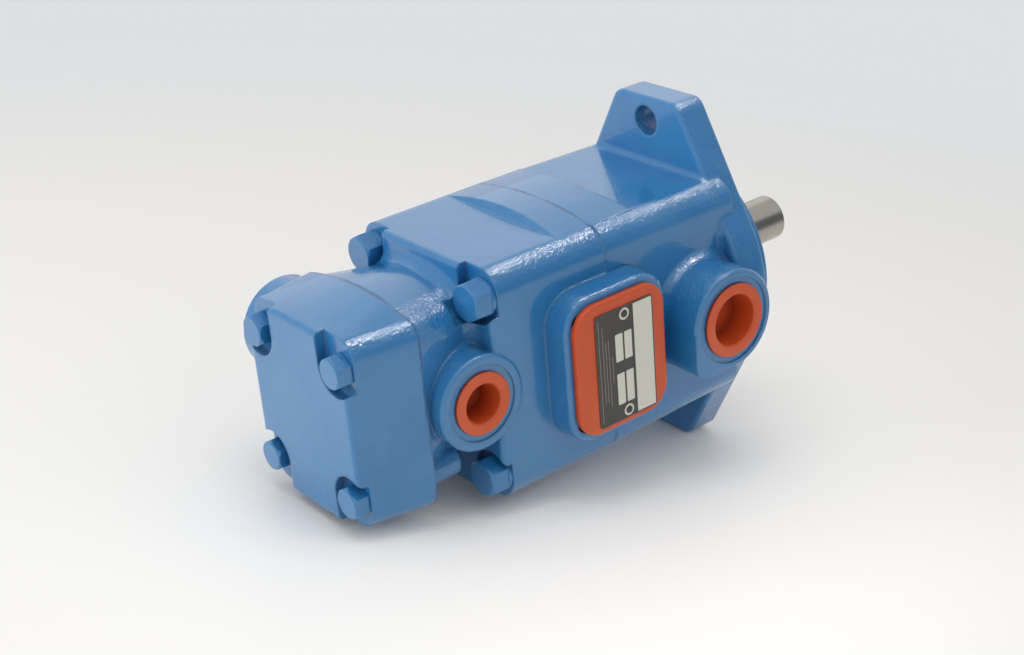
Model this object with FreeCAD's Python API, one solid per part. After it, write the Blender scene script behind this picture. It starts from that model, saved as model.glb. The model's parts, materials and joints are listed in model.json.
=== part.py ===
import FreeCAD, Part
import os
from math import acos, atan2, cos, pi, radians, sin, sqrt

# Double vane pump. Millimetres. The origin is the centre of the mounting face, on the shaft's axis.
# +X runs out along the free shaft end, +Z is up through one mounting ear, and the ports face -Y.

V = FreeCAD.Vector
OUT = "parts"

# Mounting flange, two bolts
flange_t = 16.0
flange_r = 58.5
hole_pitch = 146.05
hole_r = 7.15
ear_top = 84.5
ear_corner_r = 7.0
ear_flat_half = 16.0
pilot_r = 50.8
pilot_len = 9.5

# Front body, from the flange back to the first seam
front_len = 85.5
body_half_y = 47.0
body_half_z = 54.0
body_corner_r = 11.0
front_draft_y = 0.8
front_draft_z = 1.5
front_fillet = 3.0
arch_rise = 3.8
arch_root = 0.4
arch_front_run = 24.0
arch_rear_run = 19.0
arch_slope = 3.2

# Centre housing, neck and rear cover
housing_len = 63.5
neck_len = 32.0
neck_half_y = 40.5
neck_top = 43.0
neck_crown = 4.5
neck_low = 33.5
neck_waist = 8.0
neck_top_r = 12.0
neck_low_r = 20.0
neck_fillet = 5.5
neck_dip = 2.5
cover_len = 34.0
cover_half_y = 41.8
cover_half_z = 43.5
cover_crown = 4.0
cover_draft = 5.8
cover_corner_r = 8.5
cast_edge = 2.5
side_boss_r = 21.5
side_boss_z = 19.0
side_boss_x = -190.0
side_boss_out = 7.5

# Ports and their bosses, on the -Y side
port1_x = -32.7
port1_face = 70.0
port1_boss_r = 23.5
port1_thread_r = 16.65
port1_core_r = 12.0
port1_web_drop = 23.0
port2_ahead = 8.5
port2_face = 48.0
port2_boss_r = 21.5
port2_thread_r = 13.5
port2_core_r = 9.5
thread_depth = 19.0
boss_flare = 7.0
spot_depth = 0.8
spot_wider = 3.6

# Inlet pad with four tapped holes
pad_x = -92.2
pad_face = 59.2
pad_half_x = 28.2
pad_half_z = 33.6
pad_corner_r = 14.0
pad_draft = 1.4
pad_root = 3.0
pad_over_gap = 0.1
inlet_r = 9.5
inlet_pitch_x = 22.2
inlet_pitch_z = 47.6
inlet_tap_r = 4.0
inlet_tap_depth = 16.0
inlet_wall = 1.0

# Housing bolts and cover bolts: place, shank, head and spotface
h_bolt_y = 38.0
h_bolt_z = 41.5
h_bolt_r = 5.56
h_bolt_af = 15.9
h_bolt_head = 8.5
h_washer_t = 2.0
h_washer_r = 8.6
h_spot_r = 11.2
h_spot_depth = 4.5
h_spot_clear = 9.0
h_bolt_grip = 22.0
c_bolt_y = 29.0
c_bolt_z = 30.0
c_bolt_r = 3.97
c_bolt_af = 13.2
c_bolt_head = 7.2
c_spot_r = 11.5
c_spot_depth = 4.8
c_spot_clear = 20.0
c_bolt_grip = 14.0
c_lug_r = 8.0
bolt_play = 0.15
tap_play = 0.06

# Shaft, bearing and seal
shaft_r = 11.11
shaft_out = 64.0
bearing_seat_r = 15.0
bearing_outer_r = 31.0
bearing_w = 16.0
bearing_front = 6.0
race_share = 0.325
ball_share = 0.297
cage_share = 0.43
ball_play = 0.05
ball_count = 9
ring_wire_t = 1.8
ring_wire_h = 3.0
shoulder_r = 18.0
seal_r = 25.0
seal_w = 8.0
seal_land_r = 17.0
spline_r = 13.0
spline_root_r = 11.8
spline_teeth = 12
spline_w = 3.0
rear_spline_w = 2.4
mid_r = 11.0
rear_spline_r = 10.0
rear_root_r = 9.0
stub_r = 8.0
key_w = 4.76
key_start = 20.0
key_end = 44.0
key_sink = 2.6
end_chamfer = 1.2

# Pumping cartridges: front and rear
vane_count = 10
f_ring_r = 39.0
f_ring_w = 28.0
f_rotor_r = 28.4
f_slot_root = 17.6
f_vane_t = 2.0
f_travel = 2.9
f_plate_w = 16.0
f_disc_w = 9.6
f_barrel_r = 35.0
f_seal_at = 4.9
f_spring_w = 4.4
r_ring_r = 31.0
r_ring_w = 20.0
r_rotor_r = 21.6
r_slot_root = 13.6
r_vane_t = 1.8
r_travel = 2.4
r_barrel_r = 27.8
r_plate_w = 12.6
r_disc_w = 3.6
r_seal_at = 6.0
r_spring_w = 2.8
plate_hub_r = 15.5
r_plate_hub_r = 12.2
vane_play = 0.08
side_play = 0.1
cam_play = 0.12
seat_gap = 0.2
bore_gap = 0.2
tip_gap = 0.1
root_gap = 0.6
pin_r = 2.5
pin_depth = 3.3
plate_rim_gap = 0.1
plate_seal_w = 2.3
plate_seal_t = 2.3

# Chambers inside the castings
chamber1_r = 27.0
chamber1_len = 12.0
face_wall = 10.0
inlet_chamber_r = 35.0
inlet_chamber_len = 27.0
chamber2_r = 21.5
chamber2_len = 20.0
bush_wall = 3.0
bush_len = 16.0
rear_bush_len = 5.8
seal_ring_r = 1.4
seal_ring_play = 0.05
seal_groove_play = 0.2
f_o_ring_r = 41.8
r_o_ring_r = 33.6

# Port plugs, inlet cover and plate
plug_flange_over = 0.5
plug_flange_t = 1.8
plug_wall = 2.6
plug_lip = 4.4
plug_len = 14.0
plug_thread_gap = 0.25
lid_half_x = 25.4
lid_half_z = 30.6
lid_corner_r = 12.0
lid_t = 3.0
lid_edge = 1.2
spigot_len = 8.0
spigot_floor = 1.0
plate_half_x = 16.4
plate_half_z = 26.6
plate_off_x = 1.6
plate_off_z = -1.2
plate_t = 0.5
rivet_r = 1.6

# Places along the axis that follow from the sizes above
seam_a = -front_len
housing_rear = seam_a - housing_len
seam_c = housing_rear - neck_len
cover_rear = seam_c - cover_len
port2_x = housing_rear - port2_ahead
bearing_back = bearing_front - bearing_w
seal_back = bearing_back - 1.0 - seal_w
f_ring_x = seam_a + seat_gap
f_plate_x = f_ring_x + f_ring_w + side_play * 2
f_shoulder = f_plate_x + f_plate_w + f_spring_w + seat_gap
r_ring_x = seam_c - 4.0 - r_ring_w
r_plate_x = r_ring_x + r_ring_w + side_play * 2
r_shoulder = r_plate_x + r_plate_w + r_spring_w + seat_gap
cover_bore_end = r_ring_x - seat_gap
inlet_front = seam_a - face_wall
inlet_back = inlet_front - inlet_chamber_len
chamber2_front = r_shoulder + chamber2_len
h_spot_x = housing_rear + h_spot_depth
c_spot_x = cover_rear + c_spot_depth


def rod(r, x0, x1, y=0.0, z=0.0):
    """A cylinder along X."""
    return Part.makeCylinder(r, x1 - x0, V(x0, y, z), V(1, 0, 0))


def peg(r, x, z, y0, y1):
    """A cylinder along Y, from y0 down to y1."""
    return Part.makeCylinder(r, y0 - y1, V(x, y0, z), V(0, -1, 0))


def block(x0, x1, y0, y1, z0, z1):
    return Part.makeBox(x1 - x0, y1 - y0, z1 - z0, V(x0, y0, z0))


def turned(profile):
    """A solid turned about the X axis from (x, radius) points."""
    points = [V(x, 0, r) for x, r in profile]
    face = Part.Face(Part.makePolygon(points + points[:1]))
    return face.revolve(V(0, 0, 0), V(1, 0, 0), 360)


def tube(r0, r1, x0, x1):
    """A plain ring about the X axis."""
    return turned([(x0, r0), (x1, r0), (x1, r1), (x0, r1)])


def corner_wire(place, corners, crown=0.0):
    """A closed outline of arcs about (u, v, radius, start angle, end angle), joined by lines.
    With a crown, every second join, at the top and the bottom, arches outward by that height."""
    edges, last, first = [], None, None
    for k, (u, v, r, a0, a1) in enumerate(corners):
        p = [place(u + r * cos(a), v + r * sin(a)) for a in (a0, (a0 + a1) / 2, a1)]
        if last is not None and (p[0] - last).Length > 1e-6:
            if crown and k % 2:
                middle = place(0, (v + crown + r) if v > 0 else (v - crown - r))
                edges.append(Part.Arc(last, middle, p[0]).toShape())
            else:
                edges.append(Part.makeLine(last, p[0]))
        edges.append(Part.Arc(*p).toShape())
        first = first or p[0]
        last = p[2]
    if (first - last).Length > 1e-6:
        edges.append(Part.makeLine(last, first))
    return Part.Wire(edges)


def lean(half_u, r, crown):
    """How far a corner arc stops short of upright where an arched top carries on from it."""
    return 2 * atan2(crown, half_u - r)


def box_corners(half_u, half_v, r, cu=0.0, cv=0.0, crown=0.0):
    """The four corner arcs of a rounded rectangle."""
    return four_corners(half_u, half_v, half_v, r, r, cu, cv, crown)


def four_corners(half_u, up, down, r_up, r_down, cu=0.0, cv=0.0, crown=0.0):
    """Corner arcs with their own radius above and below, ready for an arched top and bottom."""
    q = pi / 2
    a, b = lean(half_u, r_up, crown), lean(half_u, r_down, crown)
    u, w = half_u - r_up, half_u - r_down
    return [(cu + u, cv + up - r_up, r_up, 0, q - a), (cu - u, cv + up - r_up, r_up, q + a, 2 * q),
            (cu - w, cv - down + r_down, r_down, 2 * q, 3 * q - b), (cu + w, cv - down + r_down, r_down, 3 * q + b, 4 * q)]


def section(x, half_y, half_z, r, crown=0.0):
    """A rounded rectangle across the axis, its top and bottom arched by crown."""
    return corner_wire(lambda u, v: V(x, u, v), box_corners(half_y, half_z, r, 0, 0, crown), crown)


def loft(*wires):
    return Part.makeLoft(list(wires), True, True)


def joined(first, *rest):
    return first.fuse(list(rest)).removeSplitter()


def softened(shape, radius, pick):
    """Rounds the edges for which pick(edge) is true."""
    edges = [e for e in shape.Edges if pick(e)]
    return shape.makeFillet(radius, edges)


def at_x(edge, x):
    """Whether an edge lies in the plane at x."""
    return all(abs(v.X - x) < 1e-4 for v in edge.Vertexes) and abs(edge.CenterOfMass.x - x) < 1e-4


def in_section(edge, half_y, half_z):
    """Whether an edge lies within a rectangle across the axis."""
    box = edge.BoundBox
    wide = max(abs(box.YMin), abs(box.YMax))
    high = max(abs(box.ZMin), abs(box.ZMax))
    return wide < half_y + 1e-3 and high < half_z + 1e-3


def turn_x(shape, degrees):
    copy = shape.copy()
    copy.rotate(V(0, 0, 0), V(1, 0, 0), degrees)
    return copy


def four(half_y, half_z):
    return [(sy * half_y, sz * half_z) for sy in (1, -1) for sz in (1, -1)]


def flange_outline(x):
    """A round flange drawn out into two ears, its sides tangent to both roundings."""
    ear_z = ear_top - ear_corner_r
    reach = sqrt(ear_flat_half ** 2 + ear_z ** 2)
    tilt = atan2(ear_flat_half, ear_z) + acos((flange_r - ear_corner_r) / reach)
    a = pi / 2 - tilt
    corners = [(0, 0, flange_r, -a, a),
               (ear_flat_half, ear_z, ear_corner_r, a, pi / 2),
               (-ear_flat_half, ear_z, ear_corner_r, pi / 2, pi - a),
               (0, 0, flange_r, pi - a, pi + a),
               (-ear_flat_half, -ear_z, ear_corner_r, pi + a, 3 * pi / 2),
               (ear_flat_half, -ear_z, ear_corner_r, 3 * pi / 2, 2 * pi - a)]
    return corner_wire(lambda u, v: V(x, u, v), corners)


def arch(x_front, x_rear, front_slope, rear_slope):
    """The low arch over the cartridge bore, above and below. Its round runs into the casting's corner rounds."""
    corner_y, corner_z, t = body_half_y - body_corner_r, body_half_z - body_corner_r, body_corner_r
    low, top = body_half_z - arch_root, body_half_z + arch_rise
    over = top - corner_z
    r = (over ** 2 + corner_y ** 2 - t ** 2) / (2 * (over - t))
    half = corner_y * r / (r - t)
    points = [(x_rear, 0), (x_rear, low), (x_rear + rear_slope, top + arch_root), (x_front - front_slope, top + arch_root),
              (x_front, low), (x_front, 0)]
    face = Part.Face(Part.makePolygon([V(x, -half, z) for x, z in points + points[:1]]))
    upper = face.extrude(V(0, 2 * half, 0)).common(rod(r, x_rear - 1, x_front + 1, 0, top - r))
    return joined(upper, turn_x(upper, 180))


def flared_boss(r, x, z, base, face):
    """A round port boss along -Y whose foot spreads into the casting with a concave curve."""
    f = boss_flare
    foot = [V(x, -base, z), V(x + r + f, -base, z)]
    arc = Part.Arc(V(x + r + f, -base, z), V(x + r + f - f * sin(pi / 4), -base - f + f * cos(pi / 4), z),
                   V(x + r, -base - f, z)).toShape()
    top = [V(x + r, -base - f, z), V(x + r, -face + 1.0, z), V(x + r - 1.0, -face, z), V(x, -face, z)]
    edges = [Part.makeLine(foot[0], foot[1]), arc]
    edges += [Part.makeLine(p, q) for p, q in zip(top, top[1:] + foot[:1])]
    return Part.Face(Part.Wire(edges)).revolve(V(x, 0, z), V(0, 1, 0), 360)


def port_bore(x, face, thread_r, core_r, reach):
    """A spotfaced, threaded port that narrows to its drilled passage."""
    spot = peg(thread_r + spot_wider, x, 0, -face + spot_depth, -face - 1)
    thread = peg(thread_r, x, 0, -face + thread_depth, -face - 1)
    core = peg(core_r, x, 0, -reach, -face)
    return [spot, thread, core]


def make_front_body():
    flange = Part.Face(flange_outline(-flange_t)).extrude(V(flange_t, 0, 0))
    flange = softened(flange, 2.2, lambda e: at_x(e, -flange_t))
    flange = softened(flange, 1.0, lambda e: at_x(e, 0.0))
    pilot = turned([(-1, 0), (pilot_len, 0), (pilot_len, pilot_r - 1), (pilot_len - 1, pilot_r), (-1, pilot_r)])
    body = loft(section(seam_a, body_half_y, body_half_z, body_corner_r),
                section(-flange_t / 2, body_half_y - front_draft_y, body_half_z - front_draft_z, body_corner_r))
    solid = joined(flange, body)
    solid = softened(solid, front_fillet, lambda e: at_x(e, -flange_t) and in_section(e, body_half_y, body_half_z))
    belly = arch(seam_a + arch_front_run, seam_a, arch_slope, 0)
    boss = flared_boss(port1_boss_r, port1_x, 0, body_half_y - front_draft_y - 1.0, port1_face)
    web = block(port1_x - port1_boss_r, port1_x, -port1_face, -body_half_y / 2, -port1_web_drop, 0)
    web = softened(web, 8.0, lambda e: abs(e.CenterOfMass.x - port1_x + port1_boss_r) < 1e-4
                   and abs(e.CenterOfMass.z + port1_web_drop) < 1e-4)
    solid = joined(solid, pilot, belly, boss, web)
    f_bore = rod(f_ring_r + bore_gap, seam_a - 1, f_shoulder)
    tools = [f_bore,
             rod(chamber1_r, f_shoulder - 1, f_shoulder + chamber1_len),
             rod(seal_land_r + 1.5, f_shoulder, seal_back + 1),
             rod(seal_r, seal_back, bearing_back + 1),
             rod(bearing_outer_r, bearing_back, pilot_len + 1),
             tube(bearing_outer_r - 1, bearing_outer_r + ring_wire_h / 2,
                  bearing_front + side_play, bearing_front + side_play * 2 + ring_wire_t)]
    tools += port_bore(port1_x, port1_face, port1_thread_r, port1_core_r, chamber1_r / 2)
    tools += [rod(hole_r, -flange_t - 1, 1, 0, s * hole_pitch / 2) for s in (1, -1)]
    tools += [rod(h_bolt_r + tap_play, seam_a - 1, seam_a + h_bolt_grip + 2, y, z) for y, z in four(h_bolt_y, h_bolt_z)]
    return solid.cut(tools)


def o_ring_groove(r, seam):
    """A face groove that opens towards +X at a seam."""
    half = seal_ring_r + seal_groove_play
    return tube(r - half, r + half, seam - 2 * seal_ring_r - 2 * seal_ring_play, seam + 1)


def inlet_x():
    """The inlet bore's place, which keeps its tapped holes behind the seam."""
    return seam_a - inlet_pitch_x / 2 - inlet_tap_r - inlet_wall


def inlet_pad():
    """The raised pad around the inlet, with drafted walls. Past the seam it stands clear of the front body."""
    def wire(y, grow):
        corners = box_corners(pad_half_x + grow, pad_half_z + grow, pad_corner_r + grow, pad_x, 0)
        return corner_wire(lambda u, v: V(u, -y, v), corners)
    pad = loft(wire(body_half_y - pad_root, pad_draft), wire(pad_face - 1.2, 0.2), wire(pad_face, -1.0))
    ahead = block(seam_a, pad_x + 2 * pad_half_x, -(body_half_y + pad_over_gap), 0, -body_half_z, body_half_z)
    return pad.cut(ahead)


def neck_wire(x, half_y, top, low):
    """The neck's outline: an arched top over a rounder underside."""
    corners = four_corners(half_y, top, low, neck_top_r, neck_low_r, 0, 0, neck_crown)
    return corner_wire(lambda u, v: V(x, u, v), corners, neck_crown)


def corner_spot(y, z, r, x_rear, x_floor, clear):
    """A spotface for a bolt head that runs out through the top or bottom face of a corner."""
    far = 60.0
    round_part = rod(r, x_rear - clear, x_floor, y, z)
    sy, sz = (1 if y > 0 else -1), (1 if z > 0 else -1)
    y0, y1 = sorted((y - sy * r, y + sy * r))
    z0, z1 = sorted((z, sz * (abs(z) + far)))
    return joined(round_part, block(x_rear - clear, x_floor, y0, y1, z0, z1))


def kidney(r0, r1, middle, spread, x0, x1):
    """An arc-shaped passage about the axis."""
    ring = tube(r0, r1, x0, x1)
    a0, a1 = radians(middle - spread), radians(middle + spread)
    far = r1 * 2
    wedge = Part.Face(Part.makePolygon([V(x0, 0, 0), V(x0, far * cos(a0), far * sin(a0)),
                                        V(x0, far * cos(a1), far * sin(a1)), V(x0, 0, 0)]))
    return ring.common(wedge.extrude(V(x1 - x0, 0, 0)))


def make_center_housing():
    body = Part.Face(section(housing_rear, body_half_y, body_half_z, body_corner_r)).extrude(V(housing_len, 0, 0))
    body = softened(body, cast_edge, lambda e: at_x(e, housing_rear))
    waist = neck_half_y - neck_waist
    neck = loft(neck_wire(seam_c, neck_half_y, neck_top, neck_low),
                neck_wire(housing_rear + 1, waist, neck_top - neck_dip, neck_low - neck_waist))
    solid = joined(body, neck)
    solid = softened(solid, neck_fillet, lambda e: at_x(e, housing_rear) and in_section(e, waist + 1, neck_top + neck_crown))
    belly = arch(seam_a, seam_a - arch_rear_run, 0, arch_slope)
    boss = flared_boss(port2_boss_r, port2_x, 0, neck_half_y - neck_waist - 1.0, port2_face)
    boss = boss.common(block(seam_c, seam_a, -port2_face - 1, 0, -body_half_z, body_half_z))
    lugs = [rod(c_lug_r, seam_c, seam_c + c_bolt_grip + 3, y, z) for y, z in four(c_bolt_y, c_bolt_z)]
    solid = joined(solid, belly, boss, inlet_pad(), *lugs)
    tools = [corner_spot(y, z, h_spot_r, housing_rear, h_spot_x, h_spot_clear) for y, z in four(h_bolt_y, h_bolt_z)]
    tools += [rod(h_bolt_r + bolt_play, h_spot_x - 1, seam_a + 1, y, z) for y, z in four(h_bolt_y, h_bolt_z)]
    tools += [rod(c_bolt_r + tap_play, seam_c - 1, seam_c + c_bolt_grip + 1.5, y, z) for y, z in four(c_bolt_y, c_bolt_z)]
    tools += [tube(mid_r + bush_wall + 4, inlet_chamber_r, inlet_back, inlet_front),
              rod(mid_r + bush_wall, inlet_back - bush_len - 1, inlet_back + 1),
              rod(mid_r + 2.5, chamber2_front - 1, seam_a + 1),
              rod(mid_r + bush_wall + 4.5, inlet_back, inlet_front),
              rod(chamber2_r, r_shoulder - 1, chamber2_front),
              rod(r_barrel_r + bore_gap, seam_c - 1, r_shoulder),
              o_ring_groove(f_o_ring_r, seam_a)]
    tools += [kidney(f_slot_root, f_rotor_r + f_travel, m, 24, inlet_front - 1, seam_a + 1) for m in (45, 225)]
    tools += [peg(inlet_r, inlet_x(), 0, -(mid_r + bush_wall + 4), -pad_face - 1)]
    tools += [peg(inlet_tap_r, inlet_x() + x, z, -pad_face + inlet_tap_depth, -pad_face - 1)
              for x, z in four(inlet_pitch_x / 2, inlet_pitch_z / 2)]
    tools += port_bore(port2_x, port2_face, port2_thread_r, port2_core_r, chamber2_r / 2)
    return solid.cut(tools)


def make_rear_cover():
    body = loft(section(seam_c, cover_half_y, cover_half_z, cover_corner_r, cover_crown),
                section(cover_rear, cover_half_y - cover_draft, cover_half_z - 0.5, cover_corner_r, 1.0))
    body = softened(body, cast_edge, lambda e: at_x(e, cover_rear))
    side = Part.makeCylinder(side_boss_r, cover_half_y + side_boss_out, V(side_boss_x, 0, side_boss_z), V(0, 1, 0))
    side = softened(side, cast_edge, lambda e: abs(e.CenterOfMass.y - cover_half_y - side_boss_out) < 1e-4)
    side = side.common(block(cover_rear + 0.5, seam_c, 0, 200, -200, 200))
    solid = joined(body, side)
    tools = [corner_spot(y, z, c_spot_r, cover_rear, c_spot_x, c_spot_clear) for y, z in four(c_bolt_y, c_bolt_z)]
    tools += [rod(c_bolt_r + bolt_play, c_spot_x - 1, seam_c + 1, y, z) for y, z in four(c_bolt_y, c_bolt_z)]
    tools += [rod(r_ring_r + bore_gap, cover_bore_end, seam_c + 1),
              rod(stub_r + bush_wall, cover_bore_end - rear_bush_len - 0.2, cover_bore_end + 1),
              o_ring_groove(r_o_ring_r, seam_c)]
    return solid.cut(tools)


def spline(root_r, r, x0, x1, width):
    """A shaft stretch with straight-sided teeth, parted evenly about the axis."""
    teeth = []
    for k in range(spline_teeth):
        tooth = block(x0, x1, -width / 2, width / 2, 0, r)
        teeth.append(turn_x(tooth, 360.0 * k / spline_teeth).common(rod(r, x0, x1)))
    return joined(rod(root_r, x0, x1), *teeth)


def spline_bore(root_r, r, x0, x1, width):
    return spline(root_r + tip_gap, r + tip_gap, x0 - 1, x1 + 1, width + 2 * tip_gap)


def make_drive_shaft():
    bush_front = inlet_back
    steps = [(cover_bore_end - rear_bush_len, 0), (cover_bore_end - rear_bush_len, stub_r - 1),
             (cover_bore_end - rear_bush_len + 1, stub_r), (r_ring_x + seat_gap, stub_r),
             (r_ring_x + seat_gap, rear_root_r), (r_plate_x - side_play, rear_root_r),
             (r_plate_x - side_play, mid_r), (bush_front + 6, mid_r), (bush_front + 6, spline_root_r),
             (f_plate_x - side_play, spline_root_r), (f_plate_x - side_play, seal_land_r - 3),
             (f_shoulder, seal_land_r - 3), (f_shoulder, seal_land_r), (bearing_back - 3, seal_land_r),
             (bearing_back - 3, shoulder_r), (bearing_back, shoulder_r), (bearing_back, bearing_seat_r),
             (bearing_front + 1 + ring_wire_t + 1, bearing_seat_r), (bearing_front + 1 + ring_wire_t + 1, shaft_r),
             (shaft_out - end_chamfer, shaft_r), (shaft_out, shaft_r - end_chamfer), (shaft_out, 0)]
    shaft = turned(steps)
    front = spline(spline_root_r, spline_r, f_ring_x + side_play, f_plate_x - side_play, spline_w)
    rear = spline(rear_root_r, rear_spline_r, r_ring_x + seat_gap, r_plate_x - side_play, rear_spline_w)
    shaft = joined(shaft, front, rear)
    groove = tube(bearing_seat_r - ring_wire_h / 2, bearing_seat_r + 2,
                  bearing_front + side_play, bearing_front + side_play * 2 + ring_wire_t)
    seat = block(key_start, key_end, shaft_r - key_sink, shaft_r + 3, -key_w / 2, key_w / 2)
    return shaft.cut([groove, seat])


def make_shaft_key():
    key = block(key_start, key_end, shaft_r - key_sink, shaft_r - key_sink + key_w, -key_w / 2, key_w / 2)
    return softened(key, key_w / 2 - 0.01, lambda e: abs(e.Length - key_w) < 1e-4 and abs(e.Vertexes[0].Z - e.Vertexes[1].Z) < 1e-4)


def race(r_wall, r_edge, r_groove):
    """A bearing race with a ball groove, between its wall and its edge radius."""
    body = turned([(bearing_back, r_wall), (bearing_front, r_wall), (bearing_front, r_edge), (bearing_back, r_edge)])
    middle = (bearing_front + bearing_back) / 2
    groove = Part.makeTorus(r_groove, ball_r() + ball_play, V(middle, 0, 0), V(1, 0, 0))
    return body.cut(groove)


def pitch_r():
    return (bearing_seat_r + bearing_outer_r) / 2


def ball_r():
    return (bearing_outer_r - bearing_seat_r) * ball_share


def race_wall():
    return (bearing_outer_r - bearing_seat_r) * race_share


def make_balls():
    middle = (bearing_front + bearing_back) / 2
    balls = []
    for k in range(ball_count):
        a = 2 * pi * k / ball_count
        balls.append(Part.makeSphere(ball_r() - ball_play, V(middle, pitch_r() * cos(a), pitch_r() * sin(a))))
    return Part.makeCompound(balls)


def make_cage():
    middle = (bearing_front + bearing_back) / 2
    half_gap = (bearing_outer_r - bearing_seat_r) / 2 - race_wall()
    wall = half_gap * cage_share
    ring = tube(pitch_r() - wall, pitch_r() + wall, middle - ball_r() - wall, middle + ball_r() + wall)
    turns = [2 * pi * k / ball_count for k in range(ball_count)]
    pockets = [Part.makeCylinder(ball_r() + 3 * ball_play, 2 * bearing_outer_r, V(middle, 0, 0), V(0, cos(a), sin(a)))
               for a in turns]
    return ring.cut(pockets)


def make_retaining_ring(r_in, r_out, gap_at):
    """An open spring ring in its groove."""
    x0 = bearing_front + side_play * 1.5
    ring = tube(r_in, r_out, x0, x0 + ring_wire_t)
    slot = turn_x(block(x0 - 1, x0 + ring_wire_t + 1, -3, 3, 0, r_out + 5), gap_at)
    return ring.cut(slot)


def make_shaft_seal():
    """A lip seal: a cased outer band, a disc, and a lip that leans onto the shaft."""
    x0, x1 = seal_back + 0.1, seal_back + 0.1 + seal_w - 0.2
    lip = seal_land_r + 0.1
    return turned([(x0, seal_r - 0.05), (x1, seal_r - 0.05), (x1, lip + 3.5), (x1 - 2, lip + 2.2), (x1 - 5, lip),
                   (x1 - 6, lip), (x1 - 6, lip + 1.6), (x1 - 2.2, lip + 4.4), (x1 - 2.2, seal_r - 2.2), (x0, seal_r - 2.2)])


def cam_face(x, r_low, rise):
    """The cam ring's inner outline: two lobes, a smooth curve of the turning angle."""
    points = []
    for k in range(36):
        a = 2 * pi * k / 36
        r = r_low + rise * (0.5 + 0.5 * cos(2 * a))
        points.append(V(x, r * cos(a), r * sin(a)))
    curve = Part.BSplineCurve()
    curve.interpolate(points, PeriodicFlag=True)
    return Part.Face(Part.Wire([curve.toShape()]))


def make_cam_ring(x, width, outer_r, rotor_r, travel, pins):
    ring = rod(outer_r, x, x + width)
    opening = cam_face(x - 1, rotor_r + cam_play, travel + cam_play).extrude(V(width + 2, 0, 0))
    tools = [opening] + [rod(pin_r + 0.1, x - 1, x + width + 1, 0, s * pins) for s in (1, -1)]
    return ring.cut(tools)


def make_pins(x0, x1, place):
    return Part.makeCompound([rod(pin_r, x0, x1, 0, s * place) for s in (1, -1)])


def make_rotor(x0, x1, r, slot_root, vane_t, bore):
    rotor = rod(r, x0, x1)
    tools = [bore]
    for k in range(vane_count):
        slot = block(x0 - 1, x1 + 1, slot_root, r + 2, -vane_t / 2 - vane_play, vane_t / 2 + vane_play)
        foot = rod(vane_t * 0.75, x0 - 1, x1 + 1, slot_root, 0)
        tools.append(turn_x(joined(slot, foot), 360.0 * k / vane_count))
    return rotor.cut(tools)


def make_vane(k, x0, x1, r, slot_root, vane_t):
    """A vane, drawn in flush with the rotor, with a rounded tip."""
    body = block(x0, x1, slot_root + root_gap, r - tip_gap, -vane_t / 2, vane_t / 2)
    body = softened(body, vane_t * 0.4, lambda e: abs(e.CenterOfMass.y - r + tip_gap) < 1e-4 and e.Length > vane_t * 2)
    return turn_x(body, 360.0 * k / vane_count)


def make_pressure_plate(x0, width, disc_r, disc_w, barrel_r, hub_r, seal_r, seal_at, kidneys, pins):
    """A disc against the ring and a barrel behind it, with outlet passages, pin holes and a seal groove."""
    plate = turned([(x0, hub_r), (x0 + width, hub_r), (x0 + width, barrel_r), (x0 + disc_w, barrel_r),
                    (x0 + disc_w, disc_r), (x0, disc_r)])
    tools = [kidney(kidneys[0], kidneys[1], m, 20, x0 - 1, x0 + width + 1) for m in (135, 315)]
    tools += [rod(pin_r + 0.1, x0 - 1, x0 + pin_depth + 0.2, 0, s * pins) for s in (1, -1)]
    tools += [tube(seal_r - plate_seal_t - 0.1, seal_r + 1, seal_at - 0.1, seal_at + plate_seal_w + 0.1)]
    return plate.cut(tools)


def make_plate_spring(x0, x1, r0, r1):
    """A wave spring: a flat ring that bends up and down around its turn."""
    waves, steps, t = 3, 36, (x1 - x0) * 0.45
    lift = (x1 - x0) - t
    mid, half = (r0 + r1) / 2, (r1 - r0) / 2
    segments = []
    for k in range(steps):
        a0, a1 = 2 * pi * k / steps, 2 * pi * (k + 1) / steps
        section_wires = []
        for a in (a0, a1):
            x = x0 + lift * (0.5 - 0.5 * cos(waves * a))
            c = [(x, mid - half), (x + t, mid - half), (x + t, mid + half), (x, mid + half)]
            section_wires.append(Part.makePolygon([V(px, r * cos(a), r * sin(a)) for px, r in c + c[:1]]))
        segments.append(loft(*section_wires))
    return segments[0].fuse(segments[1:]).removeSplitter()


def o_ring(r, seam):
    return Part.makeTorus(r, seal_ring_r, V(seam - seal_ring_r - seal_ring_play, 0, 0), V(1, 0, 0))


def hex_bolt(x_seat, x_end, r, across, head, washer_t, washer_r, y, z):
    """A hexagon head bolt along +X with a chamfered head, on its washer."""
    base = x_seat - washer_t
    corners = [V(base, across / sqrt(3) * cos(pi / 3 * k + pi / 6), across / sqrt(3) * sin(pi / 3 * k + pi / 6)) for k in range(6)]
    hexagon = Part.Face(Part.makePolygon(corners + corners[:1])).extrude(V(-head, 0, 0))
    top = base - head
    dome = turned([(top, 0), (top, across / 2 * 0.95), (top + 1.6, across / sqrt(3) + 0.1), (base, across / sqrt(3) + 0.1), (base, 0)])
    shank = turned([(base, 0), (base, r), (x_end - 1.2, r), (x_end, r - 1.2), (x_end, 0)])
    parts = [hexagon.common(dome), shank]
    if washer_t:
        parts.append(turned([(base, 0), (base, washer_r), (x_seat, washer_r), (x_seat, 0)]))
    bolt = joined(*parts)
    bolt.translate(V(0, y, z))
    return bolt


def make_housing_bolts():
    return Part.makeCompound([hex_bolt(h_spot_x, seam_a + h_bolt_grip, h_bolt_r, h_bolt_af, h_bolt_head, h_washer_t,
                                       h_washer_r, y, z) for y, z in four(h_bolt_y, h_bolt_z)])


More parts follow.
